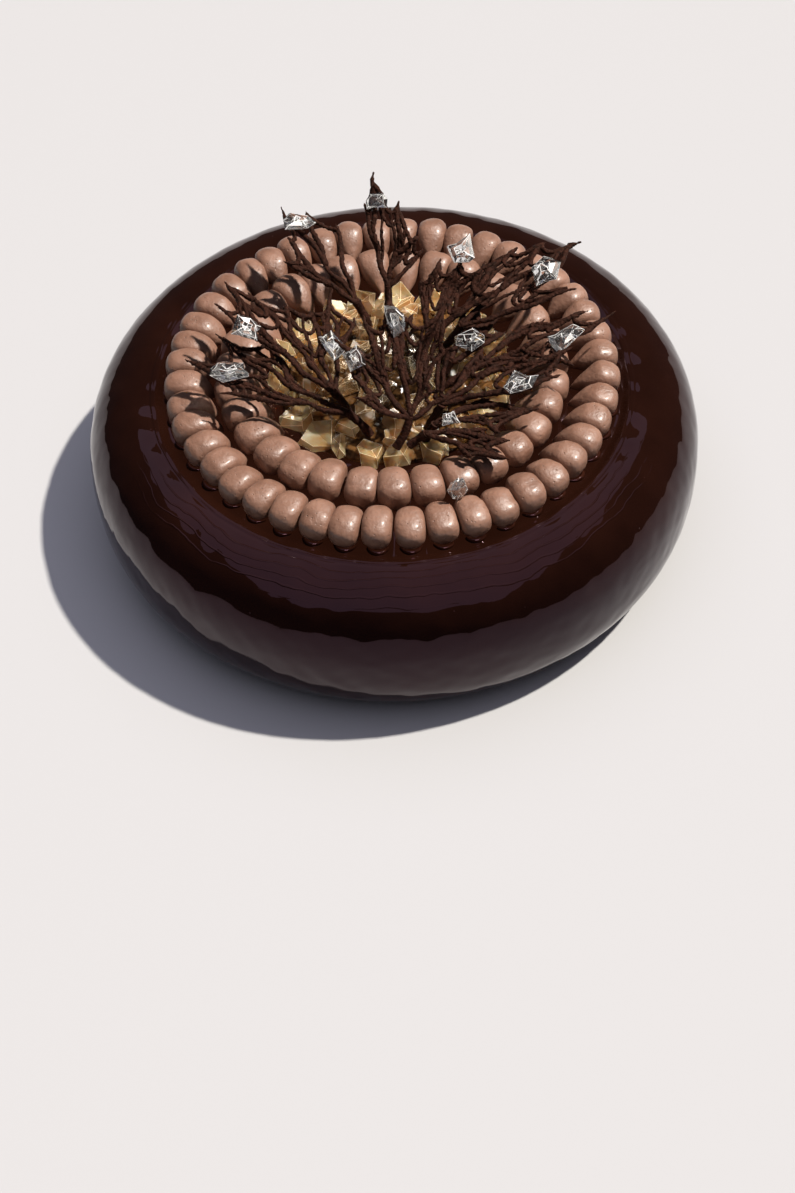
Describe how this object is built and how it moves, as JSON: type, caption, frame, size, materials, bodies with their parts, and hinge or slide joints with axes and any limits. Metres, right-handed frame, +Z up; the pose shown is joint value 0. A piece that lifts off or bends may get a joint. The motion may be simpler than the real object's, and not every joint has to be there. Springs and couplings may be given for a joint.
{
  "type": "entremet cake",
  "caption": "Round glazed mousse cake with full rounded sides, two rings of piped ganache drops, a jelly heap, upright chocolate lace and clear shards.",
  "frame": {"origin": "middle of the flat foot", "axes": "+Z up from the foot, -Y towards the front"},
  "size_m": [0.18, 0.18, 0.0853],
  "materials": {
    "dark_glaze": "mirror-bright dark chocolate glaze",
    "ganache": "satin milk chocolate ganache",
    "amber_jelly": "wet translucent amber jelly",
    "cocoa_lace": "dull dark chocolate dusted with cocoa",
    "clear_jelly": "clear, wet and crumpled"
  },
  "bodies": {
    "root": {"cake_body": "dark_glaze", "drops_inner": "ganache", "drops_outer": "ganache", "jelly_heap": "amber_jelly", "lace_back": "cocoa_lace", "lace_back_inner": "cocoa_lace", "lace_back_left": "cocoa_lace", "lace_back_right": "cocoa_lace", "lace_front": "cocoa_lace", "lace_front_right": "cocoa_lace", "lace_left": "cocoa_lace", "lace_left_high": "cocoa_lace", "lace_middle": "cocoa_lace", "lace_right": "cocoa_lace", "lace_right_front": "cocoa_lace", "lace_right_low": "cocoa_lace", "shard_back": "clear_jelly", "shard_back_inner": "clear_jelly", "shard_back_left": "clear_jelly", "shard_back_right": "clear_jelly", "shard_between_drops": "clear_jelly", "shard_front_left": "clear_jelly", "shard_front_low": "clear_jelly", "shard_front_top": "clear_jelly", "shard_left": "clear_jelly", "shard_left_high": "clear_jelly", "shard_left_inner": "clear_jelly", "shard_right": "clear_jelly", "shard_right_inner": "clear_jelly", "shard_right_low": "clear_jelly"}
  },
  "joints": []
}
